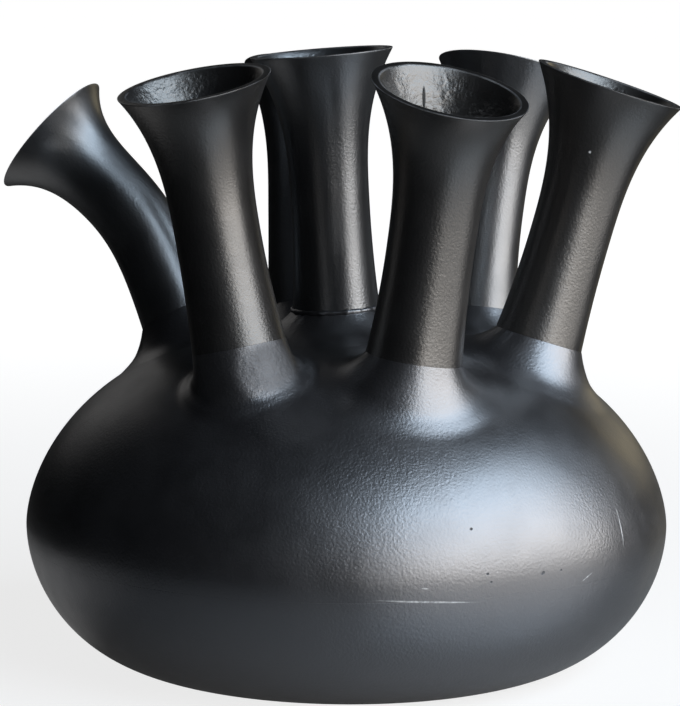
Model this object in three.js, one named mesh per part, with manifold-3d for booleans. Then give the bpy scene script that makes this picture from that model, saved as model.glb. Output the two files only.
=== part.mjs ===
// Tulip vase: a squashed, hollow, cast body with seven trumpet spouts, one upright in the
// middle and six leaning outwards in a ring. Millimetres, +Z up. The origin is the middle of
// the flat foot, -Y is the front, and angles run anticlockwise from +X seen from above.
//
// The body is two castings that meet at a lapped seam near the widest ring. Each spout is a
// casting of its own, with a turned spigot that sits in the socket of its collar.

import * as THREE from 'three';
import { mergeVertices } from 'three/addons/utils/BufferGeometryUtils.js';
import Module from 'manifold-3d';

const wasm = await Module();
wasm.setup();

// Body
const BODY_RADIUS = 150;
const WIDEST_HEIGHT = 65;
const DOME_RISE = 89;
const FOOT_RADIUS = 90;
const BODY_WALL = 3.5;

// Fullness of the body's outline. A value of 2 is a true ellipse, and more is squarer.
const BOWL_FULLNESS = 1.9;
const DOME_CROWN_FULLNESS = 1.7;
const DOME_SHOULDER_FULLNESS = 2.8;

// Seam between the bowl and the dome: the bowl's register lip stands up inside the dome
const SEAM_HEIGHT = 58;
const LIP_HEIGHT = 6;
const LIP_THICKNESS = 3;
const JOINT_GAP = 0.3;

// Spouts, all cast to one pattern
const SPOUT_LENGTH = 118;
const FOOT_OUTER = 20.6;
const FOOT_BORE = 15.6;
const WAIST_OUTER = 18.5;
const WAIST_WALL = 3.5;
const MOUTH_OUTER = 34.2;
const MOUTH_LAND = 4;
const MOUTH_CHAMFER = 0.6;
const WAIST_PLACE = 0.4;
const FLARE_POWER = 3;
const SPIGOT_LENGTH = 6;
const SPIGOT_WALL = 2.2;

// Collars that spread from the spouts down to the dome. A hollow of 0 is a straight cone, and of
// 1 a fillet that leaves the spout and meets the dome as a tangent.
const COLLAR_RISE = 13;
const COLLAR_WIDTH = 16;
const COLLAR_HOLLOW = 0.25;

// The apron round a collar dives under the dome's skin, so that the two meet nearly flat.
const APRON_WIDTH = 6;
const APRON_LIFT = 0.1;
const APRON_SINK = 0.8;

// Where each spout stands and how it leans, as cast by hand. around is its bearing from +X, reach
// its share of the way from the middle to the widest ring, and seat and stretch scale the rise of
// its collar and its length. foot and lip are the lean from upright and the side that it leans to,
// in degrees, at the spout's two ends. The leans meet at the knee, bend is the knee's share of the
// length, and a grip of 1 bends most sharply there. girth scales the foot and the waist, mouth the
// mouth, spread the collar's width, and flare how late the spout widens. trim is how far off
// square the lip is ground, in degrees, across and in depth.
const SPOUTS = [
  { name: 'spout_centre', around: -165, reach: 0.036, seat: 0.87, stretch: 1.008,
    foot: [3.4, 175], lip: [3.8, 184], bend: 0.5, grip: 0.67,
    girth: 0.985, mouth: 0.973, spread: 1, flare: 1, trim: [1, 0] },
  { name: 'spout_front_right', around: -70.2, reach: 0.581, seat: 0.89, stretch: 1.025,
    foot: [8.5, 4], lip: [13.5, -70], bend: 0.58, grip: 0.67,
    girth: 1.045, mouth: 1.025, spread: 1, flare: 1, trim: [-6, 2.3] },
  { name: 'spout_right', around: -10.7, reach: 0.6, seat: 0.96, stretch: 1.034,
    foot: [17.6, 18], lip: [11.2, -6], bend: 0.69, grip: 0.68,
    girth: 0.997, mouth: 1.01, spread: 1.15, flare: 0.95, trim: [-6.8, 1] },
  { name: 'spout_back_right', around: 45.4, reach: 0.583, seat: 1.19, stretch: 1,
    foot: [11.5, 60], lip: [18.2, 57], bend: 0.5, grip: 0.67,
    girth: 1, mouth: 0.995, spread: 1, flare: 1, trim: [-1, -0.6] },
  { name: 'spout_back', around: 102.3, reach: 0.585, seat: 0.985, stretch: 1.008,
    foot: [18.9, 105], lip: [17.8, 73.5], bend: 0.5, grip: 0.67,
    girth: 1, mouth: 1, spread: 1, flare: 1, trim: [-3, -0.2] },
  { name: 'spout_left', around: 154.8, reach: 0.585, seat: 1.17, stretch: 0.94,
    foot: [27.7, 149], lip: [51.5, 162], bend: 0.484, grip: 0.98,
    girth: 0.98, mouth: 0.982, spread: 0.9, flare: 1.66, trim: [-0.6, 2.6] },
  { name: 'spout_front_left', around: -123.6, reach: 0.579, seat: 1.15, stretch: 1.008,
    foot: [13.1, 152], lip: [10.6, -132], bend: 0.573, grip: 0.66,
    girth: 1.03, mouth: 1.01, spread: 0.8, flare: 0.985, trim: [3.3, 0.9] },
];

// Facets
const BODY_SIDES = 44;
const BOWL_STEPS = 8;
const DOME_STEPS = 10;
const SPOUT_SIDES = 20;
const OUTER_STEPS = 10;
const INNER_STEPS = 6;
const CROWDING = 1.4;
const COLLAR_STEPS = 3;
const COLLAR_BORE_STEPS = 2;

const UP = new THREE.Vector3(0, 0, 1);
const radians = THREE.MathUtils.degToRad;

// Finish: near-black satin lacquer over the casting
function lacquer(shade, roughness) {
  return new THREE.MeshStandardMaterial({ color: new THREE.Color(shade), roughness, metalness: 0.3 });
}

// Geometry helpers

// Joins equal vertices and drops the triangles that collapse, so that the surface is closed.
function weld(geometry) {
  const bare = geometry.clone();
  bare.deleteAttribute('normal');
  bare.deleteAttribute('uv');
  const merged = mergeVertices(bare, 1e-4);
  const corners = merged.index.array;
  const kept = [];
  for (let i = 0; i < corners.length; i += 3) {
    const [a, b, c] = [corners[i], corners[i + 1], corners[i + 2]];
    if (a !== b && b !== c && c !== a) kept.push(a, b, c);
  }
  merged.setIndex(kept);
  merged.computeVertexNormals();
  return merged;
}

function toSolid(geometry) {
  const welded = weld(geometry);
  const vertProperties = new Float32Array(welded.attributes.position.array);
  const triVerts = new Uint32Array(welded.index.array);
  return new wasm.Manifold(new wasm.Mesh({ numProp: 3, vertProperties, triVerts }));
}

function toGeometry(solid) {
  const mesh = solid.getMesh();
  const geometry = new THREE.BufferGeometry();
  geometry.setAttribute('position', new THREE.BufferAttribute(mesh.vertProperties, 3));
  geometry.setIndex(new THREE.BufferAttribute(mesh.triVerts, 1));
  geometry.computeVertexNormals();
  return geometry;
}

// A revolved solid about +Z. The profile's points are (radius, height).
function revolve(profile, sides) {
  return new THREE.LatheGeometry(profile, sides).rotateX(Math.PI / 2);
}

// A closed skin over rings that have equally many points, with a fan over each end.
function loft(rings) {
  const sides = rings[0].length;
  const middle = (ring) => ring.reduce((sum, p) => sum.add(p), new THREE.Vector3()).divideScalar(sides);
  const points = [...rings.flat(), middle(rings[0]), middle(rings.at(-1))];
  const below = points.length - 2;
  const above = points.length - 1;
  const last = (rings.length - 1) * sides;
  const triangles = [];
  for (let side = 0; side < sides; side += 1) {
    const next = (side + 1) % sides;
    for (let row = 0; row < last; row += sides) {
      triangles.push(row + side, row + next, row + sides + next);
      triangles.push(row + side, row + sides + next, row + sides + side);
    }
    triangles.push(below, next, side);
    triangles.push(above, last + side, last + next);
  }
  const geometry = new THREE.BufferGeometry().setFromPoints(points);
  geometry.setIndex(triangles);
  return geometry;
}

// Outline of the body

// Outer outline from the edge of the flat foot up to the crown, as points (radius, height).
function bodyOutline() {
  const points = [];
  for (let step = 0; step < BOWL_STEPS; step += 1) {
    const turn = (Math.PI / 2) * (1 - step / BOWL_STEPS);
    const bulge = Math.cos(turn) ** (2 / BOWL_FULLNESS);
    const depth = Math.sin(turn) ** (2 / BOWL_FULLNESS);
    const radius = FOOT_RADIUS + (BODY_RADIUS - FOOT_RADIUS) * bulge;
    points.push(new THREE.Vector2(radius, WIDEST_HEIGHT * (1 - depth)));
  }
  for (let step = 0; step < DOME_STEPS; step += 1) {
    const turn = (Math.PI / 2) * (step / DOME_STEPS);
    const reach = Math.cos(turn) ** (2 / DOME_SHOULDER_FULLNESS);
    const climb = Math.sin(turn) ** (2 / DOME_CROWN_FULLNESS);
    points.push(new THREE.Vector2(BODY_RADIUS * reach, WIDEST_HEIGHT + DOME_RISE * climb));
  }
  points.push(new THREE.Vector2(0, WIDEST_HEIGHT + DOME_RISE));
  return points;
}

// The outline moved inwards by a wall.
function insetOutline(outline, wall) {
  return outline.map((point, i) => {
    const before = outline[Math.max(i - 1, 0)];
    const after = outline[Math.min(i + 1, outline.length - 1)];
    const along = i === 0 ? new THREE.Vector2(1, 0) : after.clone().sub(before).normalize();
    if (i === outline.length - 1) along.set(-1, 0);
    return new THREE.Vector2(point.x - along.y * wall, point.y + along.x * wall);
  });
}

function radiusAt(outline, height) {
  const i = outline.findIndex((point) => point.y > height);
  const [low, high] = [outline[i - 1], outline[i]];
  return THREE.MathUtils.mapLinear(height, low.y, high.y, low.x, high.x);
}

// Height of the bare dome's true curve over a radius from the middle.
function crownHeight(radius) {
  const share = 1 - (radius / BODY_RADIUS) ** DOME_SHOULDER_FULLNESS;
  return WIDEST_HEIGHT + DOME_RISE * share ** (1 / DOME_CROWN_FULLNESS);
}

// Height of the faceted dome over a radius from the middle.
function domeHeight(outline, radius) {
  const i = outline.findIndex((point) => point.y > WIDEST_HEIGHT && point.x <= radius);
  const [low, high] = [outline[i - 1], outline[i]];
  return THREE.MathUtils.mapLinear(radius, low.x, high.x, low.y, high.y);
}

const outerOutline = bodyOutline();
const innerOutline = insetOutline(outerOutline, BODY_WALL);

// The register lip follows the tighter end of the dome's wall over the lap.
const lipTop = SEAM_HEIGHT + LIP_HEIGHT;
const lipOuter = Math.min(radiusAt(innerOutline, SEAM_HEIGHT), radiusAt(innerOutline, lipTop)) - JOINT_GAP;
const lipInner = lipOuter - LIP_THICKNESS;

function lowerBowl() {
  const rim = new THREE.Vector2(radiusAt(outerOutline, SEAM_HEIGHT), SEAM_HEIGHT);
  const rootHeight = SEAM_HEIGHT - LIP_HEIGHT;
  const rootOutline = innerOutline.filter((point) => point.y < rootHeight - LIP_THICKNESS);
  const profile = [
    new THREE.Vector2(0, 0),
    ...outerOutline.filter((point) => point.y < SEAM_HEIGHT),
    rim,
    new THREE.Vector2(lipOuter, SEAM_HEIGHT),
    new THREE.Vector2(lipOuter, lipTop),
    new THREE.Vector2(lipInner, lipTop),
    new THREE.Vector2(lipInner, rootHeight),
    ...rootOutline.reverse(),
    new THREE.Vector2(0, BODY_WALL),
  ];
  return weld(revolve(profile, BODY_SIDES));
}

// Spouts

function leanVector([lean, towards]) {
  return UP.clone().applyAxisAngle(new THREE.Vector3(0, 1, 0), radians(lean))
    .applyAxisAngle(UP, radians(towards));
}

// The middle of the spout's foot, its bent centre line, and a side vector for its section.
function setOut(spout) {
  const reach = BODY_RADIUS * spout.reach;
  const length = SPOUT_LENGTH * spout.stretch;
  const foot = new THREE.Vector3(reach, 0, crownHeight(reach) + COLLAR_RISE * spout.seat)
    .applyAxisAngle(UP, radians(spout.around));
  const rise = leanVector(spout.foot);
  const knee = foot.clone().addScaledVector(rise, length * spout.bend);
  const mouth = knee.clone().addScaledVector(leanVector(spout.lip), length * (1 - spout.bend));
  const handles = [foot, mouth].map((end) => end.clone().lerp(knee, spout.grip));
  const line = new THREE.CubicBezierCurve3(foot, ...handles, mouth);
  return { foot, rise, line, length, reference: new THREE.Vector3(1, 0, 0) };
}

// Two vectors that span the section square to a tangent.
function section(tangent, reference) {
  const across = reference.clone().addScaledVector(tangent, -reference.dot(tangent)).normalize();
  return [across, tangent.clone().cross(across)];
}

// Share of the length at a step. The steps crowd towards the mouth, where the spout flares.
function shareAt(step, steps) {
  return 1 - (1 - step / steps) ** CROWDING;
}

// Radius of the trumpet at a share of its length: it narrows to the waist and then flares.
function trumpet(share, foot, waist, mouth, flare) {
  if (share < WAIST_PLACE) return waist + (foot - waist) * (1 - share / WAIST_PLACE) ** 2;
  const past = (share - WAIST_PLACE) / (1 - WAIST_PLACE);
  return waist + (mouth - waist) * past ** (FLARE_POWER * flare);
}

// Half section of a spout about a straight centre line: (radius, distance from the foot).
function spoutProfile(spout) {
  const { girth, flare } = spout;
  const { length } = setOut(spout);
  const spigot = FOOT_BORE + SPIGOT_WALL;
  const mouth = MOUTH_OUTER * spout.mouth;
  const mouthBore = mouth - MOUTH_LAND;
  const points = [
    new THREE.Vector2(FOOT_BORE, -SPIGOT_LENGTH),
    new THREE.Vector2(spigot, -SPIGOT_LENGTH),
    new THREE.Vector2(spigot, 0),
  ];
  for (let step = 0; step < OUTER_STEPS; step += 1) {
    const share = shareAt(step, OUTER_STEPS);
    const radius = trumpet(share, FOOT_OUTER * girth, WAIST_OUTER * girth, mouth, flare);
    points.push(new THREE.Vector2(radius, share * length));
  }
  points.push(
    new THREE.Vector2(mouth, length - MOUTH_CHAMFER),
    new THREE.Vector2(mouth - MOUTH_CHAMFER, length),
    new THREE.Vector2(mouthBore + MOUTH_CHAMFER, length),
    new THREE.Vector2(mouthBore, length - MOUTH_CHAMFER),
  );
  for (let step = INNER_STEPS - 1; step >= 0; step -= 1) {
    const share = shareAt(step, INNER_STEPS);
    const radius = trumpet(share, FOOT_BORE, WAIST_OUTER * girth - WAIST_WALL, mouthBore, flare);
    points.push(new THREE.Vector2(radius, share * length));
  }
  points.push(points[0].clone());
  return points;
}

// The turned section is laid along the spout's bent centre line. Past the waist it slides along
// the line more and more, until the lip lies in its slanted plane.
function spoutCasting(spout) {
  const { line, length, reference } = setOut(spout);
  const [slopeAcross, slopeDeep] = spout.trim.map((angle) => Math.tan(radians(angle)));
  const geometry = new THREE.LatheGeometry(spoutProfile(spout), SPOUT_SIDES);
  const position = geometry.attributes.position;
  for (let i = 0; i < position.count; i += 1) {
    const [sideways, deep] = [position.getX(i), -position.getZ(i)];
    const along = position.getY(i);
    const share = THREE.MathUtils.clamp(along / length, 0, 1);
    const pastWaist = Math.max(share - WAIST_PLACE, 0) / (1 - WAIST_PLACE);
    const slide = (slopeAcross * sideways + slopeDeep * deep) * pastWaist ** 2;
    const tangent = line.getTangentAt(share);
    const [across, depth] = section(tangent, reference);
    const point = line.getPointAt(share)
      .addScaledVector(tangent, Math.min(along, 0) + slide)
      .addScaledVector(across, sideways)
      .addScaledVector(depth, deep);
    position.setXYZ(i, point.x, point.y, point.z);
  }
  return weld(geometry);
}

// Dome and collars

// A point square out from the spout's axis, on one of its sides, at a distance below the foot.
function footPoint(spout, side, radius, drop) {
  const { foot, rise, reference } = setOut(spout);
  const [across, depth] = section(rise, reference);
  const turn = (2 * Math.PI * side) / SPOUT_SIDES;
  return foot.clone().addScaledVector(rise, -drop)
    .addScaledVector(across, radius * Math.sin(turn))
    .addScaledVector(depth, -radius * Math.cos(turn));
}

function footRing(spout, radius, drop) {
  return Array.from({ length: SPOUT_SIDES }, (_, side) => footPoint(spout, side, radius, drop));
}

// Moves a point down along the foot's axis until it lies just under the dome's skin.
function landOnDome(point, rise, outline) {
  const over = (p) => p.z - domeHeight(outline, Math.hypot(p.x, p.y));
  let [near, far] = [0, DOME_RISE];
  for (let halving = 0; halving < 30; halving += 1) {
    const middle = (near + far) / 2;
    if (over(point.clone().addScaledVector(rise, -middle)) > 0) near = middle;
    else far = middle;
  }
  return point.clone().addScaledVector(rise, -far);
}

// Unit vector square to the dome at a point on it.
function domeNormal(point, outline) {
  const radius = Math.hypot(point.x, point.y);
  const step = 1;
  const fall = domeHeight(outline, radius) - domeHeight(outline, radius + step);
  const outwards = new THREE.Vector3(point.x, point.y, 0).normalize();
  return outwards.multiplyScalar(fall).addScaledVector(UP, step).normalize();
}

// One side of a collar: the corner under the foot that it fills, the toe where it meets the dome,
// and the edge of its apron. As a ball rolled round the corner would leave it, it is narrow where
// spout and dome meet flatly.
function landing(spout, side, outline, radius) {
  const { rise } = setOut(spout);
  const rim = footPoint(spout, side, radius, 0);
  const outwards = footPoint(spout, side, radius + 1, 0).sub(rim);
  const corner = landOnDome(rim, rise, outline);
  const width = COLLAR_WIDTH * spout.spread * (1 - domeNormal(corner, outline).dot(outwards));
  const [toe, apron] = [width, width + APRON_WIDTH].map((reach) => (
    landOnDome(rim.clone().addScaledVector(outwards, reach), rise, outline)
  ));
  toe.addScaledVector(domeNormal(toe, outline), APRON_LIFT);
  apron.addScaledVector(domeNormal(apron, outline), -APRON_SINK);
  return { corner, toe, apron };
}

// A collar sweeps from the dome's skin up to a ring at the spout's foot, a little hollow on the
// way. It reaches up to top and down to its apron, inside the dome.
function collar(spout, outline, { radius, drop, top, steps }) {
  const aprons = [];
  const sweeps = footRing(spout, radius, drop).map((end, side) => {
    const { corner, toe, apron } = landing(spout, side, outline, radius);
    aprons.push(apron);
    const bend = toe.clone().lerp(end, 0.5).lerp(corner, COLLAR_HOLLOW);
    return new THREE.QuadraticBezierCurve3(toe, bend, end);
  });
  const rings = [aprons];
  for (let step = 0; step <= steps; step += 1) {
    rings.push(sweeps.map((sweep) => sweep.getPoint(step / steps)));
  }
  if (top < drop) rings.push(footRing(spout, radius, top));
  return toSolid(loft(rings));
}

function upperDome() {
  const rimHeight = SEAM_HEIGHT + JOINT_GAP;
  const rimRadius = radiusAt(outerOutline, rimHeight);
  const hollowRadius = radiusAt(innerOutline, rimHeight);
  const outerProfile = [
    new THREE.Vector2(0, rimHeight),
    new THREE.Vector2(rimRadius, rimHeight),
    ...outerOutline.filter((point) => point.y > rimHeight),
  ];
  const innerProfile = [
    new THREE.Vector2(0, rimHeight - BODY_WALL),
    new THREE.Vector2(hollowRadius, rimHeight - BODY_WALL),
    new THREE.Vector2(hollowRadius, rimHeight),
    ...innerOutline.filter((point) => point.y > rimHeight),
  ];
  let shell = toSolid(revolve(outerProfile, BODY_SIDES));
  let hollow = toSolid(revolve(innerProfile, BODY_SIDES));
  const socketDepth = SPIGOT_LENGTH + JOINT_GAP;
  const socketRadius = FOOT_BORE + SPIGOT_WALL + JOINT_GAP;
  const skin = { drop: JOINT_GAP, top: JOINT_GAP, steps: COLLAR_STEPS };
  const bore = { radius: FOOT_BORE, drop: socketDepth, top: 0, steps: COLLAR_BORE_STEPS };
  for (const spout of SPOUTS) {
    shell = shell.add(collar(spout, outerOutline, { ...skin, radius: FOOT_OUTER * spout.girth }));
    hollow = hollow.add(collar(spout, innerOutline, bore));
    const mouth = footRing(spout, socketRadius, -SPIGOT_LENGTH);
    hollow = hollow.add(toSolid(loft([footRing(spout, socketRadius, socketDepth), mouth])));
  }
  return toGeometry(shell.subtract(hollow));
}

// Assembly

const vase = new THREE.Group();

function place(name, geometry, material) {
  const mesh = new THREE.Mesh(geometry, material);
  mesh.name = name;
  vase.add(mesh);
}

place('lower_bowl', lowerBowl(), lacquer('#16171b', 0.42));
place('upper_dome', upperDome(), lacquer('#17181d', 0.38));
for (const spout of SPOUTS) {
  place(spout.name, spoutCasting(spout), lacquer('#18181a', 0.36));
}

export default vase;
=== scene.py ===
"""Dresses the black tulip vase: fine castings, satin lacquer, soft studio light and the camera."""
import math

import bmesh
import bpy
import numpy as np
from mathutils import Matrix, Vector


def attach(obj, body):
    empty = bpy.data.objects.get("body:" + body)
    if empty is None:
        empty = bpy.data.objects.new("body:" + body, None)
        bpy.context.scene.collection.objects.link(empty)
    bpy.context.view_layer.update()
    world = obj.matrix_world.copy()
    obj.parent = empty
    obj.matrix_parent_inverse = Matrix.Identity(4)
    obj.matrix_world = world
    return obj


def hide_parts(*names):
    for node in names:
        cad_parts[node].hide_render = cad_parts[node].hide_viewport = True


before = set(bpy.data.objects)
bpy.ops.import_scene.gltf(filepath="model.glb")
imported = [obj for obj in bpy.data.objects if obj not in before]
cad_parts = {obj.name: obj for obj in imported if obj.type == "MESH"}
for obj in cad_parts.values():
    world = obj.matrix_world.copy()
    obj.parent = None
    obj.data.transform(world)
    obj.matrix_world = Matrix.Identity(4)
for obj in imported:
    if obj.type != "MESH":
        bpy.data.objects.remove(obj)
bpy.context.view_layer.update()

# The sizes below are in millimetres, as in the construction, and MM takes them to metres.
MM = 0.001

# Body
BODY_RADIUS = 150.0
WIDEST_HEIGHT = 65.0
DOME_RISE = 89.0
FOOT_RADIUS = 90.0
BODY_WALL = 3.5
BOWL_FULLNESS = 1.9
DOME_CROWN_FULLNESS = 1.7
DOME_SHOULDER_FULLNESS = 2.8
SEAM_HEIGHT = 58.0
SEAM_LINE = 0.015

# Spouts, all cast to one pattern
SPOUT_LENGTH = 118.0
FOOT_OUTER = 20.6
FOOT_BORE = 15.6
WAIST_OUTER = 18.5
WAIST_WALL = 3.5
MOUTH_OUTER = 34.2
MOUTH_LAND = 4.0
MOUTH_EDGE = 0.7
WAIST_PLACE = 0.4
FLARE_POWER = 3.0
SPIGOT_LENGTH = 6.0
SPIGOT_WALL = 2.2
SOCKET_GAP = 0.3
SEAT_LINE = 0.06

# Where each spout stands and how it leans, as in the construction: around is its bearing from
# +X, reach its share of the way to the widest ring, and seat and stretch scale the rise of its
# collar and its length. foot and lip are the lean from upright and the side that it leans to, in
# degrees. The leans meet at the knee, at a share of the length, and a grip of 1 bends most
# sharply there. girth scales the foot and the waist, mouth the mouth, spread the collar's width,
# and flare how late the spout widens. trim is how far off square the lip is ground, across and
# in depth. hollow, where given, replaces COLLAR_HOLLOW. Most values are rounded results of fits
# to points marked on the photograph, and the others are adjusted.
SPOUTS = [
    dict(name="spout_centre", around=-165, reach=0.036, seat=0.87, stretch=1.008,
         foot=(3.4, 175), lip=(3.8, 184), bend=0.5, grip=0.67,
         girth=0.985, mouth=0.973, spread=1, flare=1, trim=(1, 0)),
    dict(name="spout_front_right", around=-70.2, reach=0.581, seat=0.89, stretch=1.025,
         foot=(8.5, 4), lip=(13.5, -70), bend=0.58, grip=0.67,
         girth=1.045, mouth=1.025, spread=1, flare=1, trim=(-6, 2.3)),
    dict(name="spout_right", around=-10.7, reach=0.6, seat=0.96, stretch=1.034,
         foot=(17.6, 18), lip=(11.2, -6), bend=0.69, grip=0.68,
         girth=0.997, mouth=1.01, spread=1.15, flare=0.95, trim=(-6.8, 1)),
    dict(name="spout_back_right", around=45.4, reach=0.583, seat=1.19, stretch=1,
         foot=(11.5, 60), lip=(18.2, 57), bend=0.5, grip=0.67,
         girth=1, mouth=0.995, spread=1, flare=1, trim=(-1, -0.6)),
    dict(name="spout_back", around=102.3, reach=0.585, seat=0.985, stretch=1.008,
         foot=(18.9, 105), lip=(17.8, 73.5), bend=0.5, grip=0.67,
         girth=1, mouth=1, spread=1, flare=1, trim=(-3, -0.2)),
    dict(name="spout_left", around=154.8, reach=0.585, seat=1.17, stretch=0.94,
         foot=(27.7, 149), lip=(51.5, 162), bend=0.484, grip=0.98,
         girth=0.98, mouth=0.975, spread=0.9, flare=1.66, trim=(-0.6, 2.6)),
    dict(name="spout_front_left", around=-123.6, reach=0.579, seat=1.15, stretch=1.008,
         foot=(13.1, 152), lip=(10.6, -132), bend=0.573, grip=0.66,
         girth=1.03, mouth=1.01, spread=0.45, flare=0.985, trim=(3.3, 0.9), hollow=0.6),
]

# Collars: cones between the dome and each spout's foot
COLLAR_RISE = 13.0
COLLAR_WIDTH = 16.0
COLLAR_HOLLOW = 0.25
COLLAR_TOE = 5.0
COLLAR_BLEND = 10.0

# At the seats the wall is what the spigot's socket leaves of the collar.
SMALLEST_GIRTH = min(spout["girth"] for spout in SPOUTS)
SOCKET_WALL = FOOT_OUTER * SMALLEST_GIRTH - FOOT_BORE - SPIGOT_WALL - SOCKET_GAP

# A cut takes in the corners that lie this near to it, so that it leaves no slivers.
CUT_SNAP = 0.3

# How far from a seat, along the spout's rise and outwards from its foot, the dome's skin is cut
# and then trued to the foot's circle
SEAT_REACH = 6
TRUED_REACH = 8

# Bead of weld at the centre spout's foot: thickness, and the depth, count and start of each of
# the waves that make it uneven
BEAD_THICKNESS = 1.2
BEAD_SIDES = 144
BEAD_STEPS = 10
BEAD_WAVES = ((0.12, 9, 0), (0.1, 23, 1), (0.06, 41, 0))

# Fineness of the meshes
NET_STEP = 1.6
BODY_SIDES = 256
BOWL_STEPS = 60
FLAT_STEPS = 8
FLAT_MIDDLE = 0.02
SPOUT_SIDES = 112
SPOUT_RINGS = 72
LIP_STEPS = 5
CURVE_SAMPLES = 400
COLLAR_BEARINGS = 97
HALVINGS = 30
SLOPE_REACH = 0.05
RELAX_SHARE = 0.6
SHARP_ANGLE = 40

# Camera, rounded from a fit to the photograph's outlines: place in millimetres, angles in radians
PHOTO_HEIGHT = 706
CAMERA_DISTANCE = 1463.9
CAMERA_HEIGHT = 358.5
CAMERA_PITCH = 0.1457
CAMERA_YAW = -0.0023
CAMERA_ROLL = 0.005
FOCAL_PIXELS = 3165.5
SENSOR = 36.0

# Marks on the body by bearing from the front in degrees, height, half length, half width and turn
PITS = [(21.7, 87.6, 0.9, 0.7, 0), (23.9, 68.5, 0.9, 0.7, 0), (24.5, 64.9, 0.8, 0.6, 0),
        (34.6, 66.1, 1.4, 0.9, 30), (38.5, 66.2, 0.7, 0.6, 0)]
SCRATCHES = [(13.3, 58.0, 26, 0.5, -3.7), (55.6, 78.6, 10.5, 0.5, 88), (44.8, 60.7, 4.5, 0.3, 25),
             (13.0, 64.0, 2.0, 0.4, -5)]

# Marks by their middle and their reach along each axis
WELD_PATCH = ((-36, -87, 149), (18, 18, 18))
LACQUER_RUN = ((33.2, -68, 267.5), (0.9, 3, 6.5))
CHIP = ((109.5, -31.1, 240.9), (0.8, 0.8, 0.8))

# The spouts in front have a dimmer gloss with a warm tint, which paints weaker, warmer highlights and
# shade on them.
SHADED_SPOUTS = ("spout_front_left", "spout_front_right", "spout_right")

# Colours of bare metal in the scratches and of the painted highlight on the lips' rounded edges
BARED = (0.5, 0.5, 0.5)
LIP_HIGHLIGHT_GREY = (0.16, 0.16, 0.165)

# Unevenness of the lacquer, as noise scales per metre: clouds of colour and of gloss, patches
# of more and less grain, the painted highlight on the lips, and the wear in the scratches
COLOUR_CLOUDS = 28
GLOSS_CLOUDS = 45
GLOSS_SPREAD = (-0.04, 0.05)
GRAIN_PATCHES = 14
GRAIN_SPREAD = (0.3, 1.0)
LIP_HIGHLIGHT_NOISE = 90
LIP_HIGHLIGHT_SPREAD = (0, 0.8)
SCRATCH_WEAR = 700

# Relief of the lacquer: noise scale per metre, and depth in metres or as a share of the grain's
ORANGE_PEEL = (30, 0.00025)
COARSE_GRAIN = (170, 0.25)
FINE_GRAIN = 850
BORE_RELIEF = ((110, 0.0006), (420, 0.0004))
WELD_RELIEF = (330, 0.0005)
PIT_DEPTH = 0.0007
RUN_HEIGHT = 0.002

# What the marks add to the roughness
PIT_ROUGHNESS = 0.5
WELD_ROUGHNESS = 0.35
RUN_ROUGHNESS = 0.6

# Stage: the room's dim light, how much of the white backdrop the lacquer mirrors, how deep the
# shadow on the floor may be, and the pale table top that ends at these distances in metres
ROOM_LIGHT = 0.006
ROOM_COLOUR = (0.85, 0.9, 1.0, 1)
BACKDROP_MIRRORED = 0.05
BACKDROP_MIDDLE = (0.9, 0.99)
FLOOR_MIRRORED = 0.4
FOOT_MIRRORED = 0.1
FOOT_REACH = (0.1, 0.2)
FLOOR_SHADE = 0.2
FLOOR_SHADE_REACH = (0.3, 1.4)
FLOOR_HALF_WIDTH = 12000
TABLE_EDGE = (0.2, 0.5)
TABLE_BLEND = (-0.3, 0.3)
TABLE_LEFT = 0.2
TABLE_RIGHT = 0.46
TABLE_DARK = 0.04
TABLE_IOR = 2.4
TABLE_ROUGHNESS = 0.3

# The part of the floor that the lacquer mirrors: the side it lies on, how directly, and the
# distances over which it fades in and out
MIRRORED_SIDE = (-0.8, 0.6, 0)
MIRRORED_ANGLE = (0.3, 0.9)
MIRRORED_FROM = (0.1, 0.15)
MIRRORED_TO = (0.24, 0.42)

# Lamps: bearing, distance, lower and upper edge, width, brightness and colour. Lengths in metres
LAMPS = dict(
    window_low=(57, 1.5, 0.09, 0.5, 2.6, 4.6, (1.0, 0.97, 0.93)),
    window_middle=(57, 1.5, 0.5, 1.1, 2.5, 4.9, (0.93, 0.98, 1.04)),
    window_sky=(57, 1.5, 1.1, 2.1, 2.5, 4.9, (0.80, 0.98, 1.16)),
    back_fill=(208, 2.2, 0.5, 1.7, 1.2, 0.3, (1.0, 0.98, 0.95)),
    warm_wall=(145, 2.0, 0.2, 0.7, 0.7, 1.0, (1.0, 0.85, 0.55)),
)

# Lacquers: colour where deep and where thin, roughness, depth of the grain in metres, index of
# refraction and tint of the gloss
BODY_LACQUER = dict(deep=(0.0036, 0.0035, 0.0040), thin=(0.0080, 0.0078, 0.0090), roughness=0.37,
                    grain_depth=0.00018, gloss=1.84, tint=(0.97, 0.97, 1.0))
# Spout lacquer with painted shade: lower gloss and a warm tint on its highlights, for the spouts in front
SHADED_SPOUT_LACQUER = dict(deep=(0.0034, 0.0032, 0.0034), thin=(0.0072, 0.0069, 0.0072), roughness=0.36,
                    grain_depth=0.0002, gloss=1.64, tint=(1.0, 0.96, 0.92))
# Spout lacquer with painted light: higher gloss for brighter highlights, for the spouts behind
LIT_SPOUT_LACQUER = dict(deep=(0.0034, 0.0033, 0.0036), thin=(0.0072, 0.0070, 0.0076), roughness=0.36,
                     grain_depth=0.00016, gloss=1.82, tint=(0.97, 0.98, 1.0))


# Outline of the body

def dome_height(radius):
    """Height of the bare dome over a radius from the middle."""
    share = np.clip(1 - (np.asarray(radius) / BODY_RADIUS) ** DOME_SHOULDER_FULLNESS, 0, 1)
    return WIDEST_HEIGHT + DOME_RISE * share ** (1 / DOME_CROWN_FULLNESS)


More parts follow.
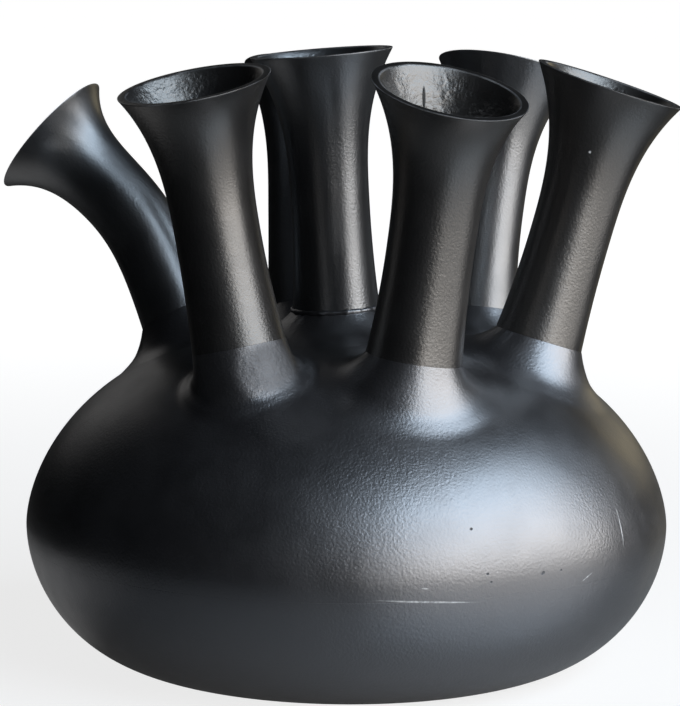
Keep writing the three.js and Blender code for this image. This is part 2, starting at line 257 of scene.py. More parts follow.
def bowl_radius(height):
    """Radius of the bowl at a height below the widest ring."""
    depth = np.clip((WIDEST_HEIGHT - np.asarray(height)) / WIDEST_HEIGHT, 0, 1)
    bulge = (1 - depth ** BOWL_FULLNESS) ** (1 / BOWL_FULLNESS)
    return FOOT_RADIUS + (BODY_RADIUS - FOOT_RADIUS) * bulge


# Setting out of the spouts

def lean_vector(lean):
    tilt, towards = (math.radians(angle) for angle in lean)
    sideways = math.sin(tilt)
    return np.array([sideways * math.cos(towards), sideways * math.sin(towards), math.cos(tilt)])


def set_out(spout):
    """The middle of the foot, the way it rises, the bent centre line's corners, and its length."""
    reach = BODY_RADIUS * spout["reach"]
    length = SPOUT_LENGTH * spout["stretch"]
    around = math.radians(spout["around"])
    height = float(dome_height(reach)) + COLLAR_RISE * spout["seat"]
    foot = np.array([reach * math.cos(around), reach * math.sin(around), height])
    rise = lean_vector(spout["foot"])
    knee = foot + rise * length * spout["bend"]
    mouth = knee + lean_vector(spout["lip"]) * length * (1 - spout["bend"])
    handles = [end + (knee - end) * spout["grip"] for end in (foot, mouth)]
    return foot, rise, [foot, *handles, mouth], length


def section(tangent):
    """Two vectors that span the section square to each tangent."""
    reference = np.array([1.0, 0.0, 0.0])
    across = reference - tangent * (tangent @ reference)[..., None]
    across /= np.linalg.norm(across, axis=-1, keepdims=True)
    return across, np.cross(tangent, across)


def trumpet(share, foot, waist, mouth, flare):
    """Radius at a share of the length: it narrows to the waist and then flares."""
    narrow = waist + (foot - waist) * np.clip(1 - share / WAIST_PLACE, 0, 1) ** 2
    return narrow + (mouth - waist) * past_waist(share) ** (FLARE_POWER * flare)


def past_waist(share):
    return np.clip((share - WAIST_PLACE) / (1 - WAIST_PLACE), 0, 1)


# Meshes

def make_object(name, vertices, faces):
    """A smooth-shaded object from points in millimetres."""
    mesh = bpy.data.meshes.new(name)
    mesh.from_pydata((np.asarray(vertices) * MM).tolist(), [], faces)
    mesh.validate()
    mesh.shade_smooth()
    mesh.set_sharp_from_angle(angle=math.radians(SHARP_ANGLE))
    piece = bpy.data.objects.new(name, mesh)
    bpy.context.scene.collection.objects.link(piece)
    return piece


def ring_faces(rings, sides, closed):
    """Quads between consecutive rings of points, and back to the first ring if closed."""
    ring = np.arange(rings if closed else rings - 1)[:, None]
    side = np.arange(sides)[None, :]
    after = (ring + 1) % rings
    beside = (side + 1) % sides
    corners = [ring * sides + side, ring * sides + beside, after * sides + beside, after * sides + side]
    return np.stack(np.broadcast_arrays(*corners), -1).reshape(-1, 4).tolist()


def soften_corner(before, corner, after, radius, steps):
    """Points of a small rounding that replaces a profile's corner."""
    before, corner, after = (np.array(point, float) for point in (before, corner, after))
    start = corner + (before - corner) / np.linalg.norm(before - corner) * radius
    end = corner + (after - corner) / np.linalg.norm(after - corner) * radius
    shares = np.linspace(0, 1, steps)[:, None]
    return (1 - shares) ** 2 * start + 2 * shares * (1 - shares) * corner + shares ** 2 * end


# Bowl

def lower_bowl():
    """Revolved bowl: outside from the foot up to the seam, and back down the inside."""
    turn = np.linspace(math.pi / 2, 0, BOWL_STEPS)
    heights = WIDEST_HEIGHT * (1 - np.sin(turn) ** (2 / BOWL_FULLNESS))
    heights = np.append(heights[heights < SEAM_HEIGHT - SEAM_LINE], SEAM_HEIGHT - SEAM_LINE)
    outside = np.column_stack([bowl_radius(heights), heights])
    inside = np.column_stack([outside[:, 0] - BODY_WALL, np.maximum(outside[:, 1], BODY_WALL)])[::-1]
    flat = np.linspace(FLAT_MIDDLE, 1, FLAT_STEPS)[:-1]
    under = np.column_stack([flat * FOOT_RADIUS, np.zeros_like(flat)])
    floor = np.column_stack([flat * (FOOT_RADIUS - BODY_WALL), np.full_like(flat, BODY_WALL)])[::-1]
    profile = np.vstack([under, outside, inside, floor])
    around = np.linspace(0, 2 * math.pi, BODY_SIDES, endpoint=False)
    rings = np.stack([profile[:, :1] * np.cos(around), profile[:, :1] * np.sin(around),
                      np.repeat(profile[:, 1:], BODY_SIDES, axis=1)], -1)
    vertices = rings.reshape(-1, 3)
    faces = ring_faces(len(profile), BODY_SIDES, False)
    last = (len(profile) - 1) * BODY_SIDES
    faces.append(list(range(BODY_SIDES))[::-1])
    faces.append(list(range(last, last + BODY_SIDES)))
    return make_object("lower_bowl_casting", vertices, faces)


# Dome and collars, as a skin that a distance field describes

def body_field(points):
    """Distance from the bare body's skin, close to it. Inside is negative."""
    radius = np.hypot(points[..., 0], points[..., 1])
    height = points[..., 2] - WIDEST_HEIGHT
    climb = np.maximum(height, 0) / DOME_RISE
    reach = radius / BODY_RADIUS
    value = reach ** DOME_SHOULDER_FULLNESS + climb ** DOME_CROWN_FULLNESS - 1
    slope_out = DOME_SHOULDER_FULLNESS / BODY_RADIUS * reach ** (DOME_SHOULDER_FULLNESS - 1)
    slope_up = DOME_CROWN_FULLNESS / DOME_RISE * climb ** (DOME_CROWN_FULLNESS - 1)
    above = value / np.maximum(np.hypot(slope_out, slope_up), 1e-4)
    below = radius - bowl_radius(points[..., 2])
    return np.where(height > 0, above, below)


def soft_union(first, second, toe):
    """Joins two fields with a soft hollow in the corner between them."""
    overlap = np.maximum(toe - np.abs(first - second), 0) / toe
    return np.minimum(first, second) - overlap ** 2 * toe / 4


def body_normal(points):
    slope = field_slope(body_field, points)
    return slope / np.linalg.norm(slope, axis=1, keepdims=True)


def collar_plan(spout):
    """Bearings around the spout's foot, with the collar's rise and width there. As a ball rolled
    round the corner would leave it, it is narrow where spout and dome meet flatly."""
    foot, rise, _, _ = set_out(spout)
    across, depth = section(rise)
    bearing = np.linspace(-math.pi, math.pi, COLLAR_BEARINGS)
    outwards = np.cos(bearing)[:, None] * across + np.sin(bearing)[:, None] * depth
    seat = foot + outwards * FOOT_OUTER * spout["girth"]
    near, far = np.zeros(len(bearing)), np.full(len(bearing), DOME_RISE)
    for _ in range(HALVINGS):
        middle = (near + far) / 2
        outside = body_field(seat - rise * middle[:, None]) > 0
        near, far = np.where(outside, middle, near), np.where(outside, far, middle)
    normal = body_normal(seat - rise * far[:, None])
    width = COLLAR_WIDTH * spout["spread"] * (1 - (normal * outwards).sum(1))
    return bearing, body_field(seat), width


def collar_field(points, bare, spout):
    """Distance from a collar: a slightly hollow cone from the spout's seat down to the dome."""
    foot, rise, _, _ = set_out(spout)
    across, depth = section(rise)
    offset = points - foot
    outwards = offset - (offset @ rise)[..., None] * rise
    radial = np.sqrt((outwards ** 2).sum(-1))
    bearing = np.arctan2(offset @ depth, offset @ across)
    bearings, rises, widths = collar_plan(spout)
    height = np.interp(bearing, bearings, rises)
    width = np.interp(bearing, bearings, widths)
    up = bare / height
    out = (radial - FOOT_OUTER * spout["girth"]) / width
    hollow = spout.get("hollow", COLLAR_HOLLOW) / 2 * np.maximum(1 - (up - out) ** 2, 0)
    return (up + out - 1 + hollow) / np.hypot(1 / height, 1 / width)


def dome_field(points):
    """Distance from the dome with its collars. Each collar meets its neighbour in a crease."""
    bare = body_field(points)
    joined = bare
    for spout in SPOUTS:
        joined = np.minimum(joined, soft_union(bare, collar_field(points, bare, spout), COLLAR_TOE))
    return joined


def surface_net(field, low, high, step):
    """Vertices and outward quads of the field's zero surface on a grid (dual of a voxel grid)."""
    axes = [np.arange(a, b + step, step) for a, b in zip(low, high)]
    grid = np.stack(np.meshgrid(*axes, indexing="ij"), -1)
    values = np.concatenate([field(slab[None])[0][None] for slab in grid])
    inside = values < 0
    cells = tuple(size - 1 for size in values.shape)
    total = np.zeros(cells + (3,))
    count = np.zeros(cells)
    crossings = []
    for axis in range(3):
        near = [slice(None)] * 3
        far = [slice(None)] * 3
        near[axis] = slice(0, -1)
        far[axis] = slice(1, None)
        near, far = tuple(near), tuple(far)
        crossed = inside[near] != inside[far]
        place = np.argwhere(crossed)
        start, end = values[near][crossed], values[far][crossed]
        point = grid[near][crossed]
        point[:, axis] += step * start / (start - end)
        first, second = (axis + 1) % 3, (axis + 2) % 3
        ring = []
        for back_first, back_second in ((1, 1), (0, 1), (0, 0), (1, 0)):
            cell = place.copy()
            cell[:, first] -= back_first
            cell[:, second] -= back_second
            ring.append(cell)
            valid = ((cell >= 0) & (cell < cells)).all(1)
            np.add.at(total, tuple(cell[valid].T), point[valid])
            np.add.at(count, tuple(cell[valid].T), 1)
        whole = np.all([((cell >= 0) & (cell < cells)).all(1) for cell in ring], axis=0)
        crossings.append((np.stack(ring, 1)[whole], inside[near][crossed][whole]))
    used = count > 0
    number = np.full(cells, -1)
    number[used] = np.arange(used.sum())
    vertices = total[used] / count[used][:, None]
    quads = []
    for ring, leaving in crossings:
        corners = number[ring[..., 0], ring[..., 1], ring[..., 2]]
        corners[~leaving] = corners[~leaving][:, ::-1]
        quads.append(corners)
    return vertices, np.concatenate(quads)


def field_slope(field, points):
    slope = np.empty_like(points)
    for axis in range(3):
        shift = np.zeros(3)
        shift[axis] = SLOPE_REACH
        slope[:, axis] = (field(points + shift) - field(points - shift)) / (2 * SLOPE_REACH)
    return slope


def settle(field, points, rounds):
    """Moves points along the field's slope onto its zero surface."""
    for _ in range(rounds):
        slope = field_slope(field, points)
        points = points - slope * (field(points) / np.maximum((slope ** 2).sum(1), 1e-6))[:, None]
    return points


def relax(points, quads, rounds):
    """Evens out the spacing of the points by moving each towards its neighbours."""
    edges = np.concatenate([quads[:, [i, (i + 1) % 4]] for i in range(4)])
    edges = np.concatenate([edges, edges[:, ::-1]])
    count = np.bincount(edges[:, 0], minlength=len(points))[:, None]
    for _ in range(rounds):
        total = np.stack([np.bincount(edges[:, 0], points[edges[:, 1], axis], len(points))
                          for axis in range(3)], 1)
        points = (1 - RELAX_SHARE) * points + RELAX_SHARE * total / np.maximum(count, 1)
    return points


def dome_skin():
    """Outer skin of the dome, cut at the seam and at each spout's seat, as a bmesh in millimetres."""
    reach = BODY_RADIUS + 2 * NET_STEP
    top = WIDEST_HEIGHT + DOME_RISE + COLLAR_RISE + 4 * NET_STEP
    low = (-reach, -reach, SEAM_HEIGHT - 3 * NET_STEP)
    points, quads = surface_net(dome_field, low, (reach, reach, top), NET_STEP)
    for _ in range(2):
        points = relax(settle(dome_field, points, 2), quads, 1)
    points = settle(dome_field, points, 3)
    skin = bmesh.new()
    corners = [skin.verts.new(point) for point in points]
    for quad in quads:
        skin.faces.new([corners[i] for i in quad])
    bmesh.ops.bisect_plane(skin, geom=skin.verts[:] + skin.edges[:] + skin.faces[:],
                           plane_co=(0, 0, SEAM_HEIGHT + SEAM_LINE), plane_no=(0, 0, 1), clear_inner=True,
                           dist=CUT_SNAP, use_snap_center=True)
    for spout in SPOUTS:
        cut_seat(skin, spout)
    return skin


def cut_seat(skin, spout):
    """Cuts the collar off square at the spout's seat and trues its edge to the spout's round foot."""
    foot, rise, _, _ = set_out(spout)
    axis, middle = Vector(rise), Vector(foot - rise * SEAT_LINE)
    girth = FOOT_OUTER * spout["girth"]

    def offsets(point):
        along = (point - middle).dot(axis)
        return along, (point - middle - axis * along).length

    near = []
    for face in skin.faces:
        along, radial = offsets(face.calc_center_median())
        if radial < girth + SEAT_REACH and abs(along) < SEAT_REACH:
            near.append(face)
    edges = list({edge for face in near for edge in face.edges})
    verts = list({vert for face in near for vert in face.verts})
    bmesh.ops.bisect_plane(skin, geom=verts + edges + near, plane_co=middle, plane_no=axis,
                           dist=CUT_SNAP, use_snap_center=True)
    spare = []
    for vert in skin.verts:
        along, radial = offsets(vert.co)
        if along > 1e-4 and radial < girth + SEAT_REACH:
            spare.append(vert)
    bmesh.ops.delete(skin, geom=spare, context="VERTS")
    rim = []
    for vert in skin.verts:
        along, radial = offsets(vert.co)
        if vert.is_boundary and along > -1 and radial < girth + SEAT_REACH:
            rim.append(vert)
    true_up(skin, rim, middle, axis, girth)


def true_up(skin, rim, middle, axis, girth):
    """Pulls the collar's top edge onto the foot's circle, fading out below it."""
    across, depth = (Vector(vector) for vector in section(np.array(axis)))

    def bearing(point):
        offset = point - middle
        return math.atan2(offset.dot(depth), offset.dot(across))

    samples = sorted((bearing(vert.co), girth - (vert.co - middle).length) for vert in rim)
    turns = np.array([turn for turn, _ in samples])
    gaps = np.array([gap for _, gap in samples])
    for vert in skin.verts:
        offset = vert.co - middle
        along = offset.dot(axis)
        if not -COLLAR_BLEND < along < 1:
            continue
        outwards = offset - axis * along
        if outwards.length > girth + TRUED_REACH:
            continue
        fade = max(0.0, min(1.0, 1 + along / COLLAR_BLEND)) ** 2
        gap = float(np.interp(bearing(vert.co), turns, gaps, period=2 * math.pi))
        vert.co += outwards.normalized() * gap * fade


def thicken(skin, wall):
    """Gives an open skin an inner side and rims, and returns its points and faces."""
    skin.normal_update()
    skin.verts.ensure_lookup_table()
    skin.verts.index_update()
    outer = [tuple(vert.co) for vert in skin.verts]
    inner = [tuple(vert.co - vert.normal * wall) for vert in skin.verts]
    count = len(outer)
    faces = [[vert.index for vert in face.verts] for face in skin.faces]
    faces += [[vert.index + count for vert in reversed(face.verts)] for face in skin.faces]
    for edge in skin.edges:
        if edge.is_boundary:
            loop = edge.link_loops[0]
            first, second = loop.vert.index, loop.link_loop_next.vert.index
            faces.append([second, first, first + count, second + count])
    return outer + inner, faces


def upper_dome():
    skin = dome_skin()
    vertices, faces = thicken(skin, SOCKET_WALL)
    skin.free()
    return make_object("upper_dome_casting", vertices, faces)


# Spouts

def spout_profile(spout):
    """Closed half section about a straight centre line: (radius, distance from the foot)."""
    girth, flare = spout["girth"], spout["flare"]
    length = set_out(spout)[3]
    mouth = MOUTH_OUTER * spout["mouth"]
    bore = mouth - MOUTH_LAND
    spigot = FOOT_BORE + SPIGOT_WALL
    waist = WAIST_OUTER * girth
    shares = np.linspace(0, 1, SPOUT_RINGS)
    outer_radius = trumpet(shares, FOOT_OUTER * girth, waist, mouth, flare)
    inner_radius = trumpet(shares, FOOT_BORE, waist - WAIST_WALL, bore, flare)
    outer = np.column_stack([outer_radius, shares * length])
    inner = np.column_stack([inner_radius, shares * length])
    outer_edge = soften_corner(outer[-2], outer[-1], (bore, length), MOUTH_EDGE, LIP_STEPS)
    inner_edge = soften_corner((mouth, length), inner[-1], inner[-2], MOUTH_EDGE, LIP_STEPS)
    start = [[FOOT_BORE, -SPIGOT_LENGTH], [spigot, -SPIGOT_LENGTH], [spigot, 0]]
    return np.vstack([start, outer[:-1], outer_edge, inner_edge, inner[:-1][::-1]])


def centre_line(spout, shares):
    """Points and tangents of the bent centre line at equal shares of its length."""
    corners = np.array(set_out(spout)[2])
    sides = np.diff(corners, axis=0)

    def point_at(place):
        left = 1 - place
        weights = [left ** 3, 3 * left ** 2 * place, 3 * left * place ** 2, place ** 3]
        return np.hstack(weights) @ corners

    fine = np.linspace(0, 1, CURVE_SAMPLES)[:, None]
    strides = np.linalg.norm(np.diff(point_at(fine), axis=0), axis=1)
    walked = np.concatenate([[0], np.cumsum(strides)])
    place = np.interp(shares, walked / walked[-1], fine[:, 0])[:, None]
    tangent = np.hstack([(1 - place) ** 2, 2 * place * (1 - place), place ** 2]) @ sides
    return point_at(place), tangent / np.linalg.norm(tangent, axis=1, keepdims=True)


def spout_casting(spout):
    """The half section revolved, laid along the bent centre line, and slid to its slanted lip."""
    profile = spout_profile(spout)
    lip = len(profile) - (SPOUT_RINGS - 1) - 2 * LIP_STEPS
    shares = np.clip(profile[:, 1] / set_out(spout)[3], 0, 1)
    point, tangent = centre_line(spout, shares)
    across, depth = section(tangent)
    around = np.linspace(0, 2 * math.pi, SPOUT_SIDES, endpoint=False)
    sideways = profile[:, :1] * np.cos(around)
    deep = profile[:, :1] * np.sin(around)
    slope_across, slope_deep = (math.tan(math.radians(angle)) for angle in spout["trim"])
    slide = (slope_across * sideways + slope_deep * deep) * past_waist(shares)[:, None] ** 2
    slide += np.minimum(profile[:, 1], 0)[:, None]
    rings = point[:, None] + sum(part[..., None] * vector[:, None] for part, vector in (
        (sideways, across), (deep, depth), (slide, tangent)))
    faces = ring_faces(len(profile), SPOUT_SIDES, True)
    piece = make_object(spout["name"] + "_casting", rings.reshape(-1, 3), faces)
    number = np.arange(len(profile))
    edges = (number - lip) % LIP_STEPS
    on_lip = (number >= lip) & (number < lip + 2 * LIP_STEPS)
    # The rounded edge of the lip is marked for a painted highlight, a lighter grey in its colour.
    paint(piece, "painted_lip_highlight", on_lip & (edges > 0) & (edges < LIP_STEPS - 1))
    paint(piece, "bore", number > lip + 2 * LIP_STEPS)
    return piece


def paint(piece, name, rings):
    """Gives each ring of a spout's points a value that its material reads."""
    values = np.repeat(rings.astype(np.float32), SPOUT_SIDES)
    piece.data.attributes.new(name, "FLOAT", "POINT").data.foreach_set("value", values)


def weld_bead(spout):
    """A slightly uneven bead of weld round the joint at the spout's foot."""
    foot, rise, _, _ = set_out(spout)
    across, depth = section(rise)
    turn = np.linspace(0, 2 * math.pi, BEAD_SIDES, endpoint=False)[:, None]
    waves = sum(height * np.sin(count * turn + start) for height, count, start in BEAD_WAVES)
    thick = BEAD_THICKNESS * (1 + waves)
    tilt = np.linspace(0, 2 * math.pi, BEAD_STEPS, endpoint=False)[None, :]
    radius = (FOOT_OUTER * spout["girth"] + thick * np.cos(tilt))[..., None]
    height = (thick * np.sin(tilt))[..., None]
    outwards = (np.cos(turn) * across + np.sin(turn) * depth)[:, None]
    rings = foot + radius * outwards + height * rise
    faces = ring_faces(BEAD_SIDES, BEAD_STEPS, True)
    return make_object(spout["name"] + "_weld", rings.reshape(-1, 3), faces)


# Materials

RANGE_SOCKETS = ("From Min", "From Max", "To Min", "To Max")


def mark_mask(nodes, links, place, marks):
    """1 inside any of the marks, which are ovals on the body's unrolled side."""
    apart = nodes.new("ShaderNodeSeparateXYZ")
    links.new(place, apart.inputs[0])
    front = combine(nodes, links, "MULTIPLY", apart.outputs["Y"], -1)
    bearing = combine(nodes, links, "ARCTAN2", apart.outputs["X"], front)
    unrolled = nodes.new("ShaderNodeCombineXYZ")
    links.new(combine(nodes, links, "MULTIPLY", bearing, BODY_RADIUS * MM), unrolled.inputs["X"])
    links.new(apart.outputs["Z"], unrolled.inputs["Y"])
    mask = 0
    for around, height, long, wide, turn in marks:
        oval = nodes.new("ShaderNodeMapping")
        oval.vector_type = "TEXTURE"
        unrolled_place = (math.radians(around) * BODY_RADIUS * MM, height * MM, 0)
        oval.inputs["Location"].default_value = unrolled_place
        oval.inputs["Rotation"].default_value = (0, 0, math.radians(turn))
        oval.inputs["Scale"].default_value = (long * MM, wide * MM, 1)
        links.new(unrolled.outputs[0], oval.inputs["Vector"])
        length = nodes.new("ShaderNodeVectorMath")
        length.operation = "LENGTH"
        links.new(oval.outputs[0], length.inputs[0])
        fade = ramp(nodes, links, length.outputs["Value"], 0.5, 1, 1, 0)
        mask = combine(nodes, links, "MAXIMUM", mask, fade)
    return mask


def patch_mask(nodes, links, place, middle, reach):
    """1 near a point, fading to 0 at the reach along each axis."""
    oval = nodes.new("ShaderNodeMapping")
    oval.vector_type = "TEXTURE"
    oval.inputs["Location"].default_value = [value * MM for value in middle]
    oval.inputs["Scale"].default_value = [value * MM for value in reach]
    links.new(place, oval.inputs["Vector"])
    length = nodes.new("ShaderNodeVectorMath")
    length.operation = "LENGTH"
    links.new(oval.outputs[0], length.inputs[0])
    return ramp(nodes, links, length.outputs["Value"], 0.5, 1, 1, 0)


def satin_lacquer(name, deep, thin, roughness, grain_depth, gloss, tint, body):
    """Near-black satin lacquer over a cast surface, with grain, orange peel and uneven gloss. The
    body has pits, scratches and a rough weld, and the spouts have rough bores and painted highlights on
    their lips."""
    material = bpy.data.materials.new(name)
    material.use_nodes = True
    nodes, links = material.node_tree.nodes, material.node_tree.links
    shader = nodes["Principled BSDF"]
    place = nodes.new("ShaderNodeTexCoord").outputs["Object"]

    def noise(scale, detail, strength=0.5):
        node = nodes.new("ShaderNodeTexNoise")
        node.inputs["Scale"].default_value = scale
        node.inputs["Detail"].default_value = detail
        node.inputs["Roughness"].default_value = strength
        links.new(place, node.inputs["Vector"])
        return node.outputs["Fac"]

    def spread(value, low, high, source_low=0.3, source_high=0.7):
        node = nodes.new("ShaderNodeMapRange")
        for socket, number in zip(RANGE_SOCKETS, (source_low, source_high, low, high)):
            node.inputs[socket].default_value = number
        links.new(value, node.inputs["Value"])
        return node.outputs["Result"]

    def blend(share, first, second):
        node = nodes.new("ShaderNodeMix")
        node.data_type = "RGBA"
        links.new(share, node.inputs["Factor"])
        for socket, colour in ((node.inputs["A"], first), (node.inputs["B"], second)):
            if isinstance(colour, tuple):
                socket.default_value = (*colour, 1)
            else:
                links.new(colour, socket)
        return node.outputs["Result"]

    def painted(attribute):
        node = nodes.new("ShaderNodeAttribute")
        node.attribute_name = attribute
        return node.outputs["Fac"]

    def roughen(value, mask, amount):
        return combine(nodes, links, "ADD", value, combine(nodes, links, "MULTIPLY", mask, amount))

    glossiest, dullest = (roughness + change for change in GLOSS_SPREAD)
    colour = blend(noise(COLOUR_CLOUDS, 4), deep, thin)
    shine = spread(noise(GLOSS_CLOUDS, 5, 0.6), glossiest, dullest)
    patchy = spread(noise(GRAIN_PATCHES, 2), *GRAIN_SPREAD)
    bumps = [(patchy, noise(ORANGE_PEEL[0], 2), ORANGE_PEEL[1]),
             (patchy, noise(COARSE_GRAIN[0], 2), grain_depth * COARSE_GRAIN[1]),
             (patchy, noise(FINE_GRAIN, 2), grain_depth)]
    if body:
        bared = combine(nodes, links, "MULTIPLY", mark_mask(nodes, links, place, SCRATCHES),
                        spread(noise(SCRATCH_WEAR, 2), *GRAIN_SPREAD))
        colour = blend(bared, colour, BARED)
        pits = mark_mask(nodes, links, place, PITS)
        shine = roughen(shine, pits, PIT_ROUGHNESS)
        weld = patch_mask(nodes, links, place, *WELD_PATCH)
        shine = roughen(shine, weld, WELD_ROUGHNESS)
        bumps += [(pits, pits, -PIT_DEPTH), (weld, noise(WELD_RELIEF[0], 2), WELD_RELIEF[1])]
    else:
        # Painted highlight: a lighter grey in noisy patches on the lip's rounded edge, where light
        # catches it.
        painted_lip_highlight = combine(nodes, links, "MULTIPLY", painted("painted_lip_highlight"),
                       spread(noise(LIP_HIGHLIGHT_NOISE, 3), *LIP_HIGHLIGHT_SPREAD))
        colour = blend(painted_lip_highlight, colour, LIP_HIGHLIGHT_GREY)
        colour = blend(patch_mask(nodes, links, place, *CHIP), colour, BARED)
        run = patch_mask(nodes, links, place, *LACQUER_RUN)
        shine = roughen(shine, run, RUN_ROUGHNESS)
        bore = painted("bore")
        bumps += [(bore, noise(scale, 2), relief) for scale, relief in BORE_RELIEF]
        bumps.append((run, run, RUN_HEIGHT))
    links.new(colour, shader.inputs["Base Color"])
    links.new(shine, shader.inputs["Roughness"])
    shader.inputs["IOR"].default_value = gloss
    shader.inputs["Specular IOR Level"].default_value = 1.0
    shader.inputs["Specular Tint"].default_value = (*tint, 1)

    previous = None
    for strength, height, depth in bumps:
        bump = nodes.new("ShaderNodeBump")
        bump.inputs["Distance"].default_value = abs(depth)
        bump.invert = depth < 0
        links.new(strength, bump.inputs["Strength"])
        links.new(height, bump.inputs["Height"])
        if previous:
            links.new(previous, bump.inputs["Normal"])
        previous = bump.outputs["Normal"]
    links.new(previous, shader.inputs["Normal"])
    return material


def ramp(nodes, links, value, start, end, low, high):
    """Smooth step of a value, from low at start to high at end."""
    node = nodes.new("ShaderNodeMapRange")
    node.interpolation_type = "SMOOTHSTEP"
    for socket, number in zip(RANGE_SOCKETS, (start, end, low, high)):
        node.inputs[socket].default_value = number
    links.new(value, node.inputs["Value"])
    return node.outputs["Result"]


def combine(nodes, links, operation, first, second):
    """Arithmetic on two values, each a socket or a number."""
    node = nodes.new("ShaderNodeMath")
    node.operation = operation
    for socket, value in zip(node.inputs, (first, second)):
        if isinstance(value, (int, float)):
            socket.default_value = value
        else:
            links.new(value, socket)
    return node.outputs[0]


def backdrop_share(nodes, links, mirrored):
    """1 for rays that show the pale backdrop, and a share of it for those that the lacquer mirrors."""
    path = nodes.new("ShaderNodeLightPath")
    gloss = combine(nodes, links, "MULTIPLY", path.outputs["Is Glossy Ray"], mirrored)
    rays = [path.outputs[name] for name in ("Is Camera Ray", "Is Transmission Ray")]
    seen = combine(nodes, links, "ADD", *rays)
    return combine(nodes, links, "ADD", seen, gloss)


def pale_floor():
    """White to the camera, with the vase's shadow. As light it is a glossy table top in a dim room."""
    material = bpy.data.materials.new("pale_floor")
    material.use_nodes = True
    nodes, links = material.node_tree.nodes, material.node_tree.links
    output = nodes["Material Output"]
    place = nodes.new("ShaderNodeTexCoord").outputs["Object"]
    length = nodes.new("ShaderNodeVectorMath")
    length.operation = "LENGTH"
    links.new(place, length.inputs[0])
    distance = length.outputs["Value"]

    shade = nodes.new("ShaderNodeBsdfDiffuse")
    shade.inputs["Color"].default_value = (FLOOR_SHADE, FLOOR_SHADE, FLOOR_SHADE, 1)
    white = nodes.new("ShaderNodeEmission")
    brightness = ramp(nodes, links, distance, *FLOOR_SHADE_REACH, 1 - FLOOR_SHADE, 1)
    links.new(brightness, white.inputs["Strength"])
    backdrop = nodes.new("ShaderNodeAddShader")
    links.new(shade.outputs[0], backdrop.inputs[0])
    links.new(white.outputs[0], backdrop.inputs[1])

    table = nodes["Principled BSDF"]
    apart = nodes.new("ShaderNodeSeparateXYZ")
    links.new(place, apart.inputs[0])
    pale = ramp(nodes, links, apart.outputs["X"], *TABLE_BLEND, TABLE_LEFT, TABLE_RIGHT)
    edge = ramp(nodes, links, distance, *TABLE_EDGE, 1, TABLE_DARK)
    links.new(combine(nodes, links, "MULTIPLY", pale, edge), table.inputs["Base Color"])
    table.inputs["IOR"].default_value = TABLE_IOR
    table.inputs["Roughness"].default_value = TABLE_ROUGHNESS
    blend = nodes.new("ShaderNodeMixShader")
    beside = nodes.new("ShaderNodeVectorMath")
    beside.operation = "DOT_PRODUCT"
    beside.inputs[1].default_value = MIRRORED_SIDE
    links.new(place, beside.inputs[0])
    aside = combine(nodes, links, "DIVIDE", beside.outputs["Value"], distance)
    mirrored = ramp(nodes, links, aside, *MIRRORED_ANGLE, 0, FLOOR_MIRRORED)
    for reach, low, high in ((MIRRORED_FROM, 0, 1), (MIRRORED_TO, 1, 0)):
        fade = ramp(nodes, links, distance, *reach, low, high)
        mirrored = combine(nodes, links, "MULTIPLY", mirrored, fade)
    at_foot = ramp(nodes, links, distance, *FOOT_REACH, FOOT_MIRRORED, 0)
    mirrored = combine(nodes, links, "MAXIMUM", mirrored, at_foot)
    links.new(backdrop_share(nodes, links, mirrored), blend.inputs[0])
    links.new(table.outputs[0], blend.inputs[1])
    links.new(backdrop.outputs[0], blend.inputs[2])
    links.new(blend.outputs[0], output.inputs["Surface"])
    return material


# Stage

def add_floor():
    half = FLOOR_HALF_WIDTH
    corners = [(-half, -half, 0), (half, -half, 0), (half, half, 0), (-half, half, 0)]
    floor = make_object("floor", corners, [(0, 1, 2, 3)])
    floor.data.materials.append(pale_floor())


def add_world():
    """A dim room. The camera sees it white, and the lacquer mirrors that white from straight behind."""
    world = bpy.data.worlds.new("studio")
    bpy.context.scene.world = world
    world.use_nodes = True
    nodes, links = world.node_tree.nodes, world.node_tree.links
    room = nodes["Background"]
    room.inputs["Color"].default_value = ROOM_COLOUR
    room.inputs["Strength"].default_value = ROOM_LIGHT
    backdrop = nodes.new("ShaderNodeBackground")
    backdrop.inputs["Color"].default_value = (1, 1, 1, 1)
    behind = nodes.new("ShaderNodeVectorMath")
    behind.operation = "DOT_PRODUCT"
    behind.inputs[1].default_value = (0, 1, 0)
    links.new(nodes.new("ShaderNodeTexCoord").outputs["Generated"], behind.inputs[0])
    mirrored = ramp(nodes, links, behind.outputs["Value"], *BACKDROP_MIDDLE, 0, BACKDROP_MIRRORED)
    blend = nodes.new("ShaderNodeMixShader")
    links.new(backdrop_share(nodes, links, mirrored), blend.inputs[0])
    links.new(room.outputs[0], blend.inputs[1])
    links.new(backdrop.outputs[0], blend.inputs[2])
    links.new(blend.outputs[0], nodes["World Output"].inputs["Surface"])


def stage_point(bearing, distance, height):
    """A place round the vase in metres. A bearing of 0 is the camera's side, and 90 the right."""
    angle = math.radians(bearing)
    return Vector((distance * math.sin(angle), -distance * math.cos(angle), height))


def add_lamp(name, place, facing, width, height, radiance, colour):
    """A rectangular soft light with a given brightness, turned to face a direction."""
    lamp = bpy.data.lights.new(name, "AREA")
    lamp.shape = "RECTANGLE"
    lamp.size, lamp.size_y = width, height
    lamp.energy = radiance * math.pi * width * height
    lamp.color = colour
    holder = bpy.data.objects.new(name, lamp)
    holder.location = place
    holder.rotation_euler = Vector(facing).to_track_quat("-Z", "Y").to_euler()
    holder.visible_camera = False
    bpy.context.scene.collection.objects.link(holder)


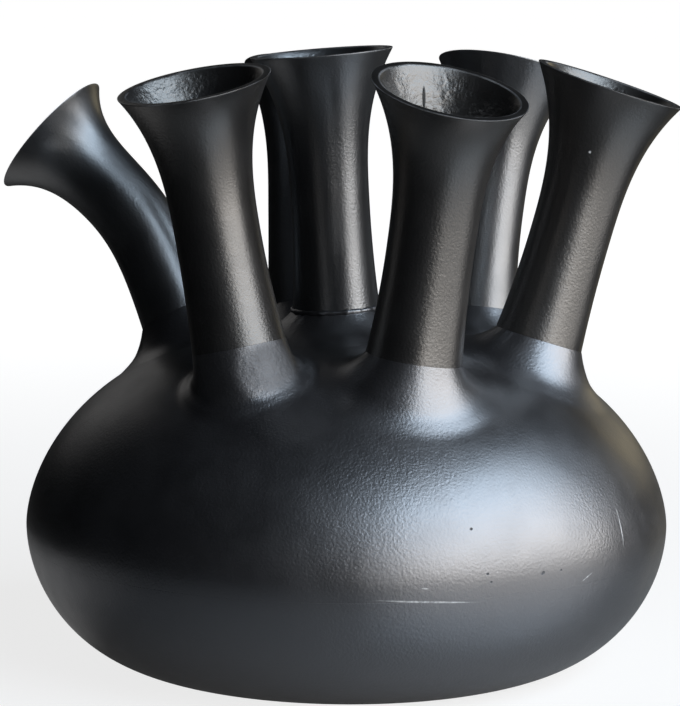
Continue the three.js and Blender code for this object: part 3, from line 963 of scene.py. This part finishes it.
def add_wall_lamp(name, bearing, distance, low, high, width, radiance, colour):
    """An upright light between two heights, square to the line to the vase."""
    place = stage_point(bearing, distance, (low + high) / 2)
    add_lamp(name, place, (-place.x, -place.y, 0), width, high - low, radiance, colour)


def add_lights():
    for name, lamp in LAMPS.items():
        add_wall_lamp(name, *lamp)


def add_camera():
    data = bpy.data.cameras.new("photo_camera")
    data.sensor_width = SENSOR
    data.lens = FOCAL_PIXELS * SENSOR / PHOTO_HEIGHT
    data.clip_end = 100
    camera = bpy.data.objects.new("photo_camera", data)
    level_reach = math.cos(CAMERA_PITCH)
    forward = Vector((math.sin(CAMERA_YAW) * level_reach, math.cos(CAMERA_YAW) * level_reach,
                      -math.sin(CAMERA_PITCH)))
    level = Vector((math.cos(CAMERA_YAW), -math.sin(CAMERA_YAW), 0))
    up = level.cross(forward)
    right = level * math.cos(CAMERA_ROLL) + up * math.sin(CAMERA_ROLL)
    top = up * math.cos(CAMERA_ROLL) - level * math.sin(CAMERA_ROLL)
    place = Matrix.Translation(Vector((0, -CAMERA_DISTANCE, CAMERA_HEIGHT)) * MM)
    camera.matrix_world = place @ Matrix((right, top, -forward)).transposed().to_4x4()
    bpy.context.scene.collection.objects.link(camera)
    bpy.context.scene.camera = camera


# Assembly

def dress(piece, node, material):
    """Puts a fine piece in the place of its plain node."""
    piece.data.materials.append(material)
    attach(piece, "root")
    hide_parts(node)


add_camera()
body_lacquer = satin_lacquer("body_lacquer", body=True, **BODY_LACQUER)
shaded_lacquer = satin_lacquer("spout_lacquer", body=False, **SHADED_SPOUT_LACQUER)
lit_lacquer = satin_lacquer("spout_lacquer_painted_light", body=False, **LIT_SPOUT_LACQUER)
dress(lower_bowl(), "lower_bowl", body_lacquer)
dress(upper_dome(), "upper_dome", body_lacquer)
for spout in SPOUTS:
    # The spouts in front get the lacquer with painted shade, the others the one with painted light.
    lacquer = shaded_lacquer if spout["name"] in SHADED_SPOUTS else lit_lacquer
    dress(spout_casting(spout), spout["name"], lacquer)
weld = weld_bead(SPOUTS[0])
weld.data.materials.append(body_lacquer)
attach(weld, "root")
add_floor()
add_world()
add_lights()
bpy.context.scene.view_settings.view_transform = "Standard"
